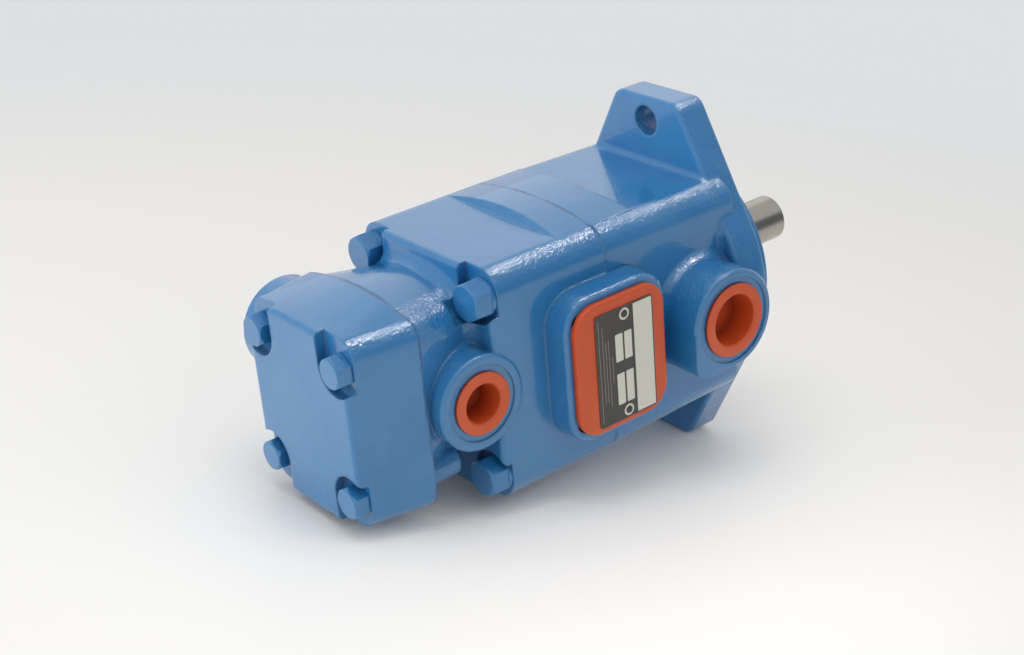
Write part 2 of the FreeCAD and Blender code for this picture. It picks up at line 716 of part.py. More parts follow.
def make_cover_bolts():
    return Part.makeCompound([hex_bolt(c_spot_x, seam_c + c_bolt_grip, c_bolt_r, c_bolt_af, c_bolt_head, 0, 0, y, z)
                              for y, z in four(c_bolt_y, c_bolt_z)])


def make_plug(x, face, thread_r):
    """A moulded port plug: a cup with a rounded rim that seats in the spotface."""
    r, rim = thread_r - plug_thread_gap, thread_r + plug_flange_over
    y0 = -face + spot_depth
    lip, inner = plug_flange_t, r - plug_lip
    profile = [(rim, 0), (rim, -lip + 0.6), (rim - 0.6, -lip), (inner + 0.8, -lip), (inner, -lip + 0.8),
               (inner - 1.2, plug_len - 2.5), (0, plug_len - 2.5), (0, plug_len), (r - 1, plug_len), (r, plug_len - 1), (r, 0)]
    points = [V(x + u, y0 + w, 0) for u, w in profile]
    return Part.Face(Part.makePolygon(points + points[:1])).revolve(V(x, 0, 0), V(0, 1, 0), 360)


def lid_wire(y, half_x, half_z, r, dx=0.0, dz=0.0):
    return corner_wire(lambda u, v: V(u, -y, v), box_corners(half_x, half_z, r, pad_x + dx, dz))


def make_inlet_cover():
    lid = Part.Face(lid_wire(pad_face, lid_half_x, lid_half_z, lid_corner_r)).extrude(V(0, -lid_t, 0))
    lid = softened(lid, lid_edge, lambda e: abs(e.CenterOfMass.y + pad_face + lid_t) < 1e-4)
    spigot_r = inlet_r - plug_thread_gap
    spigot = peg(spigot_r, inlet_x(), 0, -pad_face + spigot_len, -pad_face - 1)
    hollow = peg(spigot_r - plug_wall, inlet_x(), 0, -pad_face + spigot_len + 1, -pad_face + spigot_floor / 2)
    return joined(lid, spigot).cut(hollow)


def plate_holes():
    z = plate_half_z - 3.6
    return [(pad_x + plate_off_x, plate_off_z + s * z) for s in (1, -1)]


def make_nameplate():
    plate = Part.Face(lid_wire(pad_face + lid_t, plate_half_x, plate_half_z, 1.2, plate_off_x, plate_off_z))
    plate = plate.extrude(V(0, -plate_t, 0))
    top = -pad_face - lid_t
    return plate.cut([peg(rivet_r - 0.6, x, z, top + 1, top - 2) for x, z in plate_holes()])


def make_rivets():
    top = -pad_face - lid_t - plate_t
    heads = []
    for x, z in plate_holes():
        head = peg(rivet_r, x, z, top, top - 0.7)
        head = softened(head, 0.5, lambda e: abs(e.CenterOfMass.y - top + 0.7) < 1e-4)
        heads.append(joined(head, peg(rivet_r - 0.7, x, z, top + plate_t, top)))
    return Part.makeCompound(heads)


def make_bush(r, x0, x1):
    return tube(r + 0.05, r + bush_wall - 0.02, x0, x1)


def cartridge(name, ring, rotor, plate, spring_w, shoulder):
    """One pumping cartridge: ring, rotor, vanes, pressure plate with its spring and seal, and the ring's pins."""
    x, ring_w, ring_r, travel = ring
    rotor_r, slot_root, vane_t, bore = rotor
    plate_x, plate_w, disc_w, barrel_r, hub_r, seal_at, seal_r = plate
    pins = (ring_r + rotor_r + travel) / 2
    disc_r = ring_r - plate_rim_gap
    rotor_x0, rotor_x1 = x + side_play, x + ring_w - side_play
    kidneys = (slot_root + 2, rotor_r + travel - 1)
    spring_x = shoulder - seat_gap - spring_w
    made = {
        name + "_cam_ring": make_cam_ring(x, ring_w, ring_r, rotor_r, travel, pins),
        name + "_rotor": make_rotor(rotor_x0, rotor_x1, rotor_r, slot_root, vane_t, bore),
        name + "_pressure_plate": make_pressure_plate(plate_x, plate_w, disc_r, disc_w, barrel_r, hub_r, seal_r,
                                                      plate_x + seal_at, kidneys, pins),
        name + "_plate_spring": make_plate_spring(spring_x, spring_x + spring_w, hub_r + 5, barrel_r - 4),
        name + "_plate_seal": tube(seal_r - plate_seal_t, seal_r, plate_x + seal_at, plate_x + seal_at + plate_seal_w),
        name + "_ring_pins": make_pins(x + 0.3, plate_x + pin_depth, pins),
    }
    for k in range(vane_count):
        vane = make_vane(k, rotor_x0 + side_play, rotor_x1 - side_play, rotor_r, slot_root, vane_t)
        made["%s_vane_%02d" % (name, k + 1)] = vane
    return made


def build():
    parts = {
        "front_body": make_front_body(),
        "center_housing": make_center_housing(),
        "rear_cover": make_rear_cover(),
        "drive_shaft": make_drive_shaft(),
        "shaft_key": make_shaft_key(),
        "shaft_seal": make_shaft_seal(),
        "bearing_outer_race": race(bearing_outer_r - race_wall(), bearing_outer_r - 0.03, pitch_r()),
        "bearing_inner_race": race(bearing_seat_r + 0.03, bearing_seat_r + race_wall(), pitch_r()),
        "bearing_balls": make_balls(),
        "bearing_cage": make_cage(),
        "bearing_retaining_ring": make_retaining_ring(bearing_outer_r - 2.6, bearing_outer_r + ring_wire_h / 2 - 0.2, 180),
        "shaft_snap_ring": make_retaining_ring(bearing_seat_r - ring_wire_h / 2 + 0.2, bearing_seat_r + 2.2, 90),
        "center_bush": make_bush(mid_r, inlet_back - bush_len, inlet_back),
        "rear_bush": make_bush(stub_r, cover_bore_end - rear_bush_len, cover_bore_end),
        "body_o_ring": o_ring(f_o_ring_r, seam_a),
        "cover_o_ring": o_ring(r_o_ring_r, seam_c),
        "housing_bolts": make_housing_bolts(),
        "cover_bolts": make_cover_bolts(),
        "front_outlet_plug": make_plug(port1_x, port1_face, port1_thread_r),
        "rear_outlet_plug": make_plug(port2_x, port2_face, port2_thread_r),
        "inlet_cover": make_inlet_cover(),
        "nameplate": make_nameplate(),
        "nameplate_rivets": make_rivets(),
    }
    f_bore = spline_bore(spline_root_r, spline_r, f_ring_x, f_plate_x, spline_w)
    r_bore = spline_bore(rear_root_r, rear_spline_r, r_ring_x, r_plate_x, rear_spline_w)
    parts.update(cartridge("front", (f_ring_x, f_ring_w, f_ring_r, f_travel), (f_rotor_r, f_slot_root, f_vane_t, f_bore),
                           (f_plate_x, f_plate_w, f_disc_w, f_barrel_r, plate_hub_r, f_seal_at, f_ring_r - plate_rim_gap),
                           f_spring_w, f_shoulder))
    parts.update(cartridge("rear", (r_ring_x, r_ring_w, r_ring_r, r_travel), (r_rotor_r, r_slot_root, r_vane_t, r_bore),
                           (r_plate_x, r_plate_w, r_disc_w, r_barrel_r, r_plate_hub_r, r_seal_at, r_barrel_r),
                           r_spring_w, r_shoulder))
    return parts


os.makedirs(OUT, exist_ok=True)
for name, shape in build().items():
    shape.exportStep(os.path.join(OUT, name + ".step"))
    print(name, "solids", len(shape.Solids), "valid", shape.isValid(), "volume", round(shape.Volume))
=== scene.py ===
# %% [markdown]
# # A double vane pump, dressed for its picture
# The castings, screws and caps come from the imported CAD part, and this script gives them their finishes,
# the printed panels of the nameplate, a floor, lamps and the camera. Everything is in metres, in the
# part's own frame: X runs along the shaft, Z is up through the flange's upper ear.

import json
import math

import bmesh
import bpy
from mathutils import Matrix, Vector


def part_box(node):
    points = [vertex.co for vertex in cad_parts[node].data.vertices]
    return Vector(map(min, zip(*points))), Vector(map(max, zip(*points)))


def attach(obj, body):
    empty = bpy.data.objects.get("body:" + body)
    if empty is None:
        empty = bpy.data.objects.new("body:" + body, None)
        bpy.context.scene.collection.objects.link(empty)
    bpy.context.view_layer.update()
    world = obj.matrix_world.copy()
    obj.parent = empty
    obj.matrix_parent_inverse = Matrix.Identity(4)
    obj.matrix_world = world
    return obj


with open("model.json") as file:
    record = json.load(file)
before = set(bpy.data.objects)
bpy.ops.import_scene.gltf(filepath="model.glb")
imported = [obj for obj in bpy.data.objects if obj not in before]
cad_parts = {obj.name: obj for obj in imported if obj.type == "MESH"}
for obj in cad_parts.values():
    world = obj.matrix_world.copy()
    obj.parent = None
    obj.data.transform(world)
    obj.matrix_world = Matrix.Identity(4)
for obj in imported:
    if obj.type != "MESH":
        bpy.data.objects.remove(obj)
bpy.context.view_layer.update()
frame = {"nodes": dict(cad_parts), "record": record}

MM = 0.001

# %% [markdown]
# ## Colours
# A colour picked from a picture is in sRGB, and a shader works in linear light. This helper converts one
# to the other, so that every colour below can be written as the three 0 to 255 numbers that a maker
# would read off a swatch.


# %% A colour from its swatch
def swatch(red, green, blue):
    """An sRGB colour given as 0 to 255 numbers, as the linear RGBA that a shader takes."""
    def linear(v):
        v /= 255
        return v / 12.92 if v <= 0.04045 else ((v + 0.055) / 1.055) ** 2.4

    return (linear(red), linear(green), linear(blue), 1)


# %% [markdown]
# ## Camera
# The picture was taken with a long lens from behind the pump's left shoulder and above it. The three
# angles, in degrees, and the offset place the camera round a point on the shaft's line, and the matrix
# is built from the camera's own right, down and forward directions. The small shift moves the middle of
# the picture by a few pixels, as a slightly cropped photograph does.

# %% Camera
VIEW_AZIMUTH = -37.035
VIEW_ELEVATION = 25.645
VIEW_ROLL = -5.023
VIEW_TARGET = Vector((-110 * MM, 0, 0))
VIEW_OFFSET = Vector((-5.405 * MM, 2.587 * MM, 793.392 * MM))
FOCAL_PIXELS = 1774.34
PICTURE_WIDTH = 1024
SENSOR_WIDTH = 36
SHIFT_PIXELS = (0.22, -1.80)


def camera_axes(azimuth, elevation, roll):
    """The camera's right, down and forward directions."""
    a, e, r = (math.radians(v) for v in (azimuth, elevation, roll))
    forward = -Vector((math.sin(a) * math.cos(e), -math.cos(a) * math.cos(e), math.sin(e)))
    side = forward.cross(Vector((0, 0, 1))).normalized()
    up = side.cross(forward)
    right = math.cos(r) * side + math.sin(r) * up
    return right, math.sin(r) * side - math.cos(r) * up, forward


right, down, forward = camera_axes(VIEW_AZIMUTH, VIEW_ELEVATION, VIEW_ROLL)
eye = VIEW_TARGET - right * VIEW_OFFSET.x - down * VIEW_OFFSET.y - forward * VIEW_OFFSET.z
camera_data = bpy.data.cameras.new("camera")
camera_data.sensor_width = SENSOR_WIDTH
camera_data.lens = FOCAL_PIXELS * SENSOR_WIDTH / PICTURE_WIDTH
camera_data.shift_x = SHIFT_PIXELS[0] / PICTURE_WIDTH
camera_data.shift_y = SHIFT_PIXELS[1] / PICTURE_WIDTH
camera_data.clip_start = 10 * MM
camera = bpy.data.objects.new("camera", camera_data)
camera.matrix_world = Matrix(
    [[right[i], -down[i], -forward[i], eye[i]] for i in range(3)] + [[0, 0, 0, 1]]
)
bpy.context.scene.collection.objects.link(camera)
bpy.context.scene.camera = camera
print("camera at", [round(v, 4) for v in eye], "lens", round(camera_data.lens, 2))

# %% [markdown]
# ## Node helpers
# Shader trees are long to write out, so small helpers add a node with its settings and join sockets.
# Inputs are given by name or number, and a value that is a socket is linked while a plain one is set.
# The last five give what the finishes ask for again and again: a smooth threshold, a value stretched to
# a range, a mix of two colours, the same by a share of a mask, and a noise.


# %% Node helpers
def add_node(tree, kind, settings=None, **inputs):
    """A node of that kind, with its settings, and its inputs set or linked."""
    node = tree.nodes.new(kind)
    for name, value in (settings or {}).items():
        setattr(node, name, value)
    for name, value in inputs.items():
        plug(tree, node, name.replace("_", " "), value)
    return node


def plug(tree, node, name, value):
    """Links or sets one input, which is given by its name or by its number as text."""
    socket = node.inputs[int(name)] if name.isdigit() else node.inputs[name]
    if isinstance(value, bpy.types.NodeSocket):
        tree.links.new(value, socket)
    else:
        socket.default_value = value


def math_node(tree, operation, first, second=0.0, third=0.0):
    node = tree.nodes.new("ShaderNodeMath")
    node.operation = operation
    for number, value in enumerate((first, second, third)):
        plug(tree, node, str(number), value)
    return node.outputs[0]


def ramp(tree, value, low, high):
    """0 below low, 1 above high, and smooth between them."""
    node = tree.nodes.new("ShaderNodeMapRange")
    node.interpolation_type = "SMOOTHSTEP"
    plug(tree, node, "Value", value)
    node.inputs["From Min"].default_value = low
    node.inputs["From Max"].default_value = high
    return node.outputs["Result"]


def stretched(tree, value, span, low):
    """A value from 0 to 1, stretched to run from low to low + span."""
    return math_node(tree, "MULTIPLY_ADD", value, span, low)


def mix_colour(tree, factor, first, second):
    """The first colour where the factor is 0, and the second where it is 1."""
    node = tree.nodes.new("ShaderNodeMix")
    node.data_type = "RGBA"
    for socket, value in (("0", factor), ("6", first), ("7", second)):
        plug(tree, node, socket, value)
    return node.outputs[2]


def tinted(tree, mask, share, first, second):
    """The first colour, moved towards the second by a share of the mask."""
    return mix_colour(tree, math_node(tree, "MULTIPLY", mask, share), first, second)


def noise(tree, vector, scale, detail=3.0, roughness=0.5):
    node = add_node(tree, "ShaderNodeTexNoise", Vector=vector, Scale=scale, Detail=detail,
                    Roughness=roughness)
    return node.outputs["Fac"]


# %% [markdown]
# ## Shared effects
# A group is built once and placed in each material that needs it, each time with its own values. It has
# named inputs and outputs, like a small machine, so a maker can tell at once what it takes and gives.


# %% A group and its sockets
def new_group(name, inputs, outputs):
    """A shader group: inputs are numbers with their defaults, and outputs are given with their kinds."""
    group = bpy.data.node_groups.new(name, "ShaderNodeTree")
    for label, default in inputs.items():
        socket = group.interface.new_socket(label, in_out="INPUT", socket_type="NodeSocketFloat")
        socket.default_value = default
    for label, kind in outputs.items():
        group.interface.new_socket(label, in_out="OUTPUT", socket_type=kind)
    return group, group.nodes.new("NodeGroupInput"), group.nodes.new("NodeGroupOutput")


def use_group(tree, group, **values):
    node = tree.nodes.new("ShaderNodeGroup")
    node.node_tree = group
    for name, value in values.items():
        plug(tree, node, name, value)
    return node


# %% [markdown]
# Iron poured into a sand mould keeps the sand's skin, and paint softens it. Its height could be a
# sculpted mesh, but a bump costs nothing and works at every size. It is the sum of three noises: long
# waves, a pebbled middle size, and fine grit. A slow fourth one gives patches of thicker and thinner
# paint.

# %% Cast skin: waves, pebbles and grit
cast_skin, skin_in, skin_out = new_group(
    "cast_skin",
    {"Waves": 1.0, "Pebbles": 1.0, "Grit": 1.0},
    {"Height": "NodeSocketFloat", "Patches": "NodeSocketFloat"},
)
SKIN_LAYERS = {  # how many to a metre, detail, and roughness of each noise
    "Waves": (55, 2.0, 0.5),
    "Pebbles": (620, 2.5, 0.55),
    "Grit": (1300, 2.0, 0.6),
}
PATCH_SCALE = 28
place = add_node(cast_skin, "ShaderNodeTexCoord").outputs["Object"]
height = 0.0
for label, (scale, detail, roughness) in SKIN_LAYERS.items():
    layer = noise(cast_skin, place, scale, detail, roughness)
    height = math_node(cast_skin, "MULTIPLY_ADD", layer, skin_in.outputs[label], height)
patches = ramp(cast_skin, noise(cast_skin, place, PATCH_SCALE), 0.42, 0.62)
cast_skin.links.new(height, skin_out.inputs["Height"])
cast_skin.links.new(patches, skin_out.inputs["Patches"])
print("group", cast_skin.name, "with", len(cast_skin.nodes), "nodes")

# %% [markdown]
# Edges and hollows need their own masks. A Bevel node looks at the surface a little to each side and
# bends the normal over an edge, so comparing it with the true normal shows where the edges are, however
# the mesh is divided. Ambient occlusion does the same for hollows; a colour darkened with it is painted
# shade. A third mask finds rounds: there the soft normal points along none of the part's three
# directions.

# %% Edges and hollows
edge_mask, edge_in, edge_out = new_group(
    "edge_mask",
    {"Radius": 0.6 * MM, "Reach": 7 * MM},
    {"Edge": "NodeSocketFloat", "Hollow": "NodeSocketFloat", "Round": "NodeSocketFloat",
     "Soft Normal": "NodeSocketVector"},
)
soft = add_node(edge_mask, "ShaderNodeBevel", {"samples": 8}, Radius=edge_in.outputs["Radius"])
true_normal = add_node(edge_mask, "ShaderNodeNewGeometry").outputs["Normal"]
agree = add_node(edge_mask, "ShaderNodeVectorMath", {"operation": "DOT_PRODUCT"})
edge_mask.links.new(soft.outputs[0], agree.inputs[0])
edge_mask.links.new(true_normal, agree.inputs[1])
bend = math_node(edge_mask, "SUBTRACT", 1.0, agree.outputs["Value"])
edge_mask.links.new(ramp(edge_mask, bend, 0.01, 0.18), edge_out.inputs["Edge"])
# The hollow mask is ambient occlusion: a colour darkened with it is painted shade.
shade = add_node(edge_mask, "ShaderNodeAmbientOcclusion", {"samples": 6},
                 Distance=edge_in.outputs["Reach"])
closed = math_node(edge_mask, "SUBTRACT", 1.0, shade.outputs["AO"])
edge_mask.links.new(ramp(edge_mask, closed, 0.25, 0.85), edge_out.inputs["Hollow"])
edge_mask.links.new(soft.outputs[0], edge_out.inputs["Soft Normal"])
facing = add_node(edge_mask, "ShaderNodeVectorMath", {"operation": "ABSOLUTE"})
edge_mask.links.new(soft.outputs[0], facing.inputs[0])
facing_xyz = add_node(edge_mask, "ShaderNodeSeparateXYZ", Vector=facing.outputs["Vector"])
squarest = math_node(edge_mask, "MAXIMUM", facing_xyz.outputs["X"], facing_xyz.outputs["Y"])
squarest = math_node(edge_mask, "MAXIMUM", squarest, facing_xyz.outputs["Z"])
aslant = math_node(edge_mask, "SUBTRACT", 1.0, squarest)
edge_mask.links.new(ramp(edge_mask, aslant, 0.004, 0.06), edge_out.inputs["Round"])
print("group", edge_mask.name, "with", len(edge_mask.nodes), "nodes")

# %% [markdown]
# Machined steel shows fine rings or lines left by the tool. They are a noise that is squeezed hard
# along one direction, here along X, the axis of everything that was turned.

# %% Tool lines
tool_lines, lines_in, lines_out = new_group(
    "tool_lines",
    {"Along": 9000.0, "Across": 60.0},
    {"Lines": "NodeSocketFloat"},
)
spot = add_node(tool_lines, "ShaderNodeTexCoord").outputs["Object"]
stretch = add_node(tool_lines, "ShaderNodeCombineXYZ", X=lines_in.outputs["Along"],
                   Y=lines_in.outputs["Across"], Z=lines_in.outputs["Across"])
squeezed = add_node(tool_lines, "ShaderNodeVectorMath", {"operation": "MULTIPLY"})
tool_lines.links.new(spot, squeezed.inputs[0])
tool_lines.links.new(stretch.outputs[0], squeezed.inputs[1])
tool_lines.links.new(noise(tool_lines, squeezed.outputs[0], 1.0, 3.0, 0.6), lines_out.inputs["Lines"])
print("group", tool_lines.name, "with", len(tool_lines.nodes), "nodes")

# %% [markdown]
# Where two castings meet, the paint bridges the joint in a shallow groove that wanders a little. The
# group gives a mask round one plane across the shaft's line. It leaves out everything that stands
# further towards the ports than the castings' side, since the inlet's pad runs across the front joint.
# A slow noise fills the groove with paint in places, so the line is broken as on a real pump.

# %% Painted joint
CASTING_SIDE = -47.4 * MM
GROOVE_CORE = 0.2 * MM
GROOVE_REACH = 1.3 * MM
GROOVE_WANDER = 1.2 * MM
joint_groove, joint_in, joint_out = new_group(
    "joint_groove", {"Plane": 0.0}, {"Groove": "NodeSocketFloat"})
spot = add_node(joint_groove, "ShaderNodeTexCoord").outputs["Object"]
spot_xyz = add_node(joint_groove, "ShaderNodeSeparateXYZ", Vector=spot)
wander = stretched(joint_groove, noise(joint_groove, spot, 110, 4.0, 0.65), 2 * GROOVE_WANDER,
                   -GROOVE_WANDER)
offset = math_node(joint_groove, "SUBTRACT", spot_xyz.outputs["X"], joint_in.outputs["Plane"])
distance = math_node(joint_groove, "ABSOLUTE", math_node(joint_groove, "ADD", offset, wander))
beyond = ramp(joint_groove, distance, GROOVE_CORE, GROOVE_REACH)
near_plane = math_node(joint_groove, "SUBTRACT", 1.0, beyond)
inside = ramp(joint_groove, spot_xyz.outputs["Y"], CASTING_SIDE - 0.2 * MM, CASTING_SIDE)
filled = ramp(joint_groove, noise(joint_groove, spot, 70, 2.0), 0.34, 0.6)
broken = math_node(joint_groove, "MULTIPLY", near_plane, filled)
joint_groove.links.new(math_node(joint_groove, "MULTIPLY", broken, inside), joint_out.inputs["Groove"])
print("group", joint_groove.name, "with", len(joint_groove.nodes), "nodes")

# %% [markdown]
# ## The blue enamel
# The pump was painted after it was put together, so castings and screws share one colour. It is a thick
# glossy enamel over rough iron: smooth enough to mirror the room, and pebbled enough that each rounded
# edge breaks into small glints. The paint is a shade lighter where it pulls thin over an edge. In the
# hollows the colour is darkened with the ambient occlusion mask, which is painted shade. Flat faces are
# calmer than rounds, because the moulder's pattern is smoothest there.


# %% A material to fill in
def new_material(name):
    material = bpy.data.materials.new(name)
    material.use_nodes = True
    tree = material.node_tree
    tree.nodes.clear()
    shader = tree.nodes.new("ShaderNodeBsdfPrincipled")
    output = tree.nodes.new("ShaderNodeOutputMaterial")
    tree.links.new(shader.outputs[0], output.inputs["Surface"])
    print("material:", name)
    return material, tree, shader


def bumped(tree, height, distance, normal=None, strength=1.0):
    """A normal roughened by a height, in metres."""
    node = add_node(tree, "ShaderNodeBump", Height=height, Distance=distance, Strength=strength)
    if normal is not None:
        tree.links.new(normal, node.inputs["Normal"])
    return node.outputs["Normal"]


# %% Blue enamel, rough or smooth
ENAMEL = swatch(37, 112, 166)
ENAMEL_THIN = swatch(74, 138, 186)
# The deep blue is painted shade in the hollows, and also the dark colour of the painted joints.
ENAMEL_SHADE_AND_JOINT = swatch(20, 78, 136)
ENAMEL_ROUGHNESS = 0.16
GROOVE_DEPTH = 0.36 * MM
FRONT_JOINT = -85.5 * MM
COVER_JOINT = -181 * MM


def blue_enamel(name, waves, pebbles, grit, depth, round_over, calm, joints=()):
    """Enamel over a skin of that roughness. Depth is the skin's height, round_over the softened edge,
    calm the share of the roughness that the flat faces keep, and joints the planes of painted joints."""
    material, tree, shader = new_material(name)
    skin = use_group(tree, cast_skin, Waves=waves, Pebbles=pebbles, Grit=grit)
    edges = use_group(tree, edge_mask, Radius=round_over)
    spread = tinted(tree, skin.outputs["Patches"], 0.16, ENAMEL, ENAMEL_THIN)
    thinned = tinted(tree, edges.outputs["Edge"], 0.35, spread, ENAMEL_THIN)
    # Painted shade: the colour darkens where ambient occlusion finds hollows.
    hollow_shaded = tinted(tree, edges.outputs["Hollow"], 0.6, thinned, ENAMEL_SHADE_AND_JOINT)
    groove = 0.0
    for plane in joints:
        found = use_group(tree, joint_groove, Plane=plane).outputs["Groove"]
        groove = math_node(tree, "MAXIMUM", found, groove)
    tree.links.new(tinted(tree, groove, 0.55, hollow_shaded, ENAMEL_SHADE_AND_JOINT), shader.inputs["Base Color"])
    rough = stretched(tree, skin.outputs["Patches"], 0.05, ENAMEL_ROUGHNESS)
    tree.links.new(rough, shader.inputs["Roughness"])
    shader.inputs["IOR"].default_value = 1.5
    shader.inputs["Coat Weight"].default_value = 0.7
    shader.inputs["Coat Roughness"].default_value = 0.04
    rougher = math_node(tree, "MAXIMUM", edges.outputs["Round"], edges.outputs["Hollow"])
    strength = stretched(tree, rougher, 1 - calm, calm)
    normal = bumped(tree, skin.outputs["Height"], depth, edges.outputs["Soft Normal"], strength)
    sunk = bumped(tree, math_node(tree, "MULTIPLY", groove, -1.0), GROOVE_DEPTH, normal)
    tree.links.new(sunk, shader.inputs["Normal"])
    return material


casting_enamel = blue_enamel("casting_enamel", waves=2.6, pebbles=0.95, grit=0.5, depth=0.48 * MM,
                             round_over=1.9 * MM, calm=0.3, joints=(FRONT_JOINT, COVER_JOINT))
bolt_enamel = blue_enamel("bolt_enamel", waves=0.8, pebbles=1.0, grit=0.4, depth=0.3 * MM,
                          round_over=0.9 * MM, calm=0.45)

# %% [markdown]
# ## Orange caps and the port cover
# Caps like these are moulded in a soft orange plastic. It is satin rather than glossy, light bleeds a
# little way into it, and the moulding leaves faint flow marks and a fine even texture. The insides of
# the caps are deep and get little light, so the hollow mask darkens them further.

# %% Orange moulded plastic
ORANGE = swatch(196, 76, 30)
ORANGE_PALE = swatch(212, 102, 52)
ORANGE_DEEP = swatch(70, 10, 6)

cap_orange, tree, shader = new_material("cap_orange")
skin = use_group(tree, cast_skin, Waves=0.4, Pebbles=0.3, Grit=0.2)
edges = use_group(tree, edge_mask, Radius=0.7 * MM, Reach=11 * MM)
flow = tinted(tree, skin.outputs["Patches"], 0.3, ORANGE, ORANGE_PALE)
rubbed = tinted(tree, edges.outputs["Edge"], 0.35, flow, ORANGE_PALE)
shaded = tinted(tree, edges.outputs["Hollow"], 0.95, rubbed, ORANGE_DEEP)
tree.links.new(shaded, shader.inputs["Base Color"])
shader.inputs["Roughness"].default_value = 0.42
shader.inputs["Subsurface Weight"].default_value = 0.15
shader.inputs["Subsurface Radius"].default_value = (2 * MM, 0.8 * MM, 0.4 * MM)
shader.inputs["Subsurface Scale"].default_value = 1.0
moulded = bumped(tree, skin.outputs["Height"], 0.08 * MM, edges.outputs["Soft Normal"])
tree.links.new(moulded, shader.inputs["Normal"])

# %% [markdown]
# ## Bare metals, bronze and rubber
# Only the shaft's end, its key and the plate's rivets are bare on the outside. Inside are ground steel,
# plain iron, bronze bushes and black seals. They are made by one function, since they differ only in
# colour, roughness and the direction and depth of the tool's lines.


# %% Turned and ground metal
FRESH_EDGE = swatch(205, 203, 198)
LINES_SHARE = 0.18


def bare_metal(name, colour, worn, roughness, along, across, depth):
    """A metal with tool lines. Along and across are the lines' scales, and depth their height."""
    material, tree, shader = new_material(name)
    lines = use_group(tree, tool_lines, Along=along, Across=across)
    edges = use_group(tree, edge_mask, Radius=0.35 * MM)
    mottle = add_node(tree, "ShaderNodeTexCoord").outputs["Object"]
    stain = ramp(tree, noise(tree, mottle, 130, 4.0, 0.6), 0.4, 0.7)
    base = tinted(tree, lines.outputs["Lines"], 0.5, colour, worn)
    stained = tinted(tree, stain, 0.3, base, worn)
    bright = mix_colour(tree, edges.outputs["Edge"], stained, FRESH_EDGE)
    tree.links.new(bright, shader.inputs["Base Color"])
    shader.inputs["Metallic"].default_value = 1.0
    rough = stretched(tree, lines.outputs["Lines"], LINES_SHARE, roughness - LINES_SHARE / 2)
    tree.links.new(rough, shader.inputs["Roughness"])
    normal = bumped(tree, lines.outputs["Lines"], depth, edges.outputs["Soft Normal"])
    tree.links.new(normal, shader.inputs["Normal"])
    return material


METALS = {  # colour, worn colour, roughness, lines along and across to a metre, their height in mm
    "shaft_steel": ((184, 179, 168), (150, 144, 132), 0.2, 4200, 30, 0.005),
    "bearing_steel": ((190, 190, 188), (160, 160, 158), 0.18, 9000, 30, 0.004),
    "spring_steel": ((120, 122, 128), (84, 88, 100), 0.34, 2500, 2500, 0.008),
    "plate_iron": ((134, 132, 128), (100, 98, 95), 0.42, 1800, 1800, 0.02),
    "bush_bronze": ((188, 140, 84), (150, 104, 60), 0.33, 4200, 60, 0.01),
    "rivet_metal": ((92, 90, 86), (62, 60, 56), 0.34, 3000, 3000, 0.01),
}
metals = {
    name: bare_metal(name, swatch(*colour), swatch(*worn), roughness, along, across, height_mm * MM)
    for name, (colour, worn, roughness, along, across, height_mm) in METALS.items()
}

# %% [markdown]
# Seals and o-rings are black rubber, moulded smooth and slightly dusty. They are deep inside, so a
# mottled black with a fine skin is enough.

# %% Black rubber
seal_rubber, tree, shader = new_material("seal_rubber")
skin = use_group(tree, cast_skin, Waves=0.2, Pebbles=0.4, Grit=0.6)
film = mix_colour(tree, skin.outputs["Patches"], swatch(26, 26, 27), swatch(40, 40, 40))
tree.links.new(film, shader.inputs["Base Color"])
shader.inputs["Roughness"].default_value = 0.55
tree.links.new(bumped(tree, skin.outputs["Height"], 0.04 * MM), shader.inputs["Normal"])

# %% [markdown]
# ## The nameplate's metal
# A nameplate is thin aluminium with a dark printed ground. The ground is satin and very even, with a
# fine grain from rolling and a few rubbed places along its edges.

# %% Dark nameplate ground
plate_dark, tree, shader = new_material("plate_dark")
grain = use_group(tree, tool_lines, Along=260.0, Across=5200.0)
edges = use_group(tree, edge_mask, Radius=0.3 * MM)
ground = mix_colour(tree, grain.outputs["Lines"], swatch(44, 43, 38), swatch(60, 58, 51))
worn_ground = tinted(tree, edges.outputs["Edge"], 0.6, ground, swatch(150, 148, 140))
tree.links.new(worn_ground, shader.inputs["Base Color"])
shader.inputs["Roughness"].default_value = 0.38
shader.inputs["Coat Weight"].default_value = 0.15
shader.inputs["Coat Roughness"].default_value = 0.2
tree.links.new(bumped(tree, grain.outputs["Lines"], 0.006 * MM), shader.inputs["Normal"])

# %% [markdown]
# The pale panels are bare metal left out of the print, or white ink over it. Here they are ink: a flat
# warm white with the plate's grain showing through faintly.

# %% Pale printed panels
panel_print, tree, shader = new_material("panel_print")
grain = use_group(tree, tool_lines, Along=260.0, Across=4200.0)
ink = mix_colour(tree, grain.outputs["Lines"], swatch(196, 196, 182), swatch(212, 212, 200))
tree.links.new(ink, shader.inputs["Base Color"])
shader.inputs["Roughness"].default_value = 0.4
tree.links.new(bumped(tree, grain.outputs["Lines"], 0.004 * MM), shader.inputs["Normal"])

# %% [markdown]
# The thin rules are printed in the same ink, but so finely that the dark ground shows between its dots.
# A plain grey between the two gives the same look.

# %% Faint printed rules
rule_print, tree, shader = new_material("rule_print")
shader.inputs["Base Color"].default_value = swatch(128, 126, 116)
shader.inputs["Roughness"].default_value = 0.42

# %% [markdown]
# ## Finishes on the CAD nodes
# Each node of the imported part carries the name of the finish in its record. Here that name picks the
# material, so a new node of the same finish needs no change in this script.

# %% Finishes by slot
finishes = {
    "casting_blue": casting_enamel,
    "bolt_blue": bolt_enamel,
    "seal_rubber": seal_rubber,
    "cap_orange": cap_orange,
    "plate_dark": plate_dark,
    **metals,
}
slot_of = {part["node"]: part["material_slot"] for part in frame["record"]["subparts"]}
for name, piece in frame["nodes"].items():
    piece.data.materials.clear()
    piece.data.materials.append(finishes[slot_of[name]])
print("finished nodes:", len(slot_of), "in", len(finishes), "finishes")

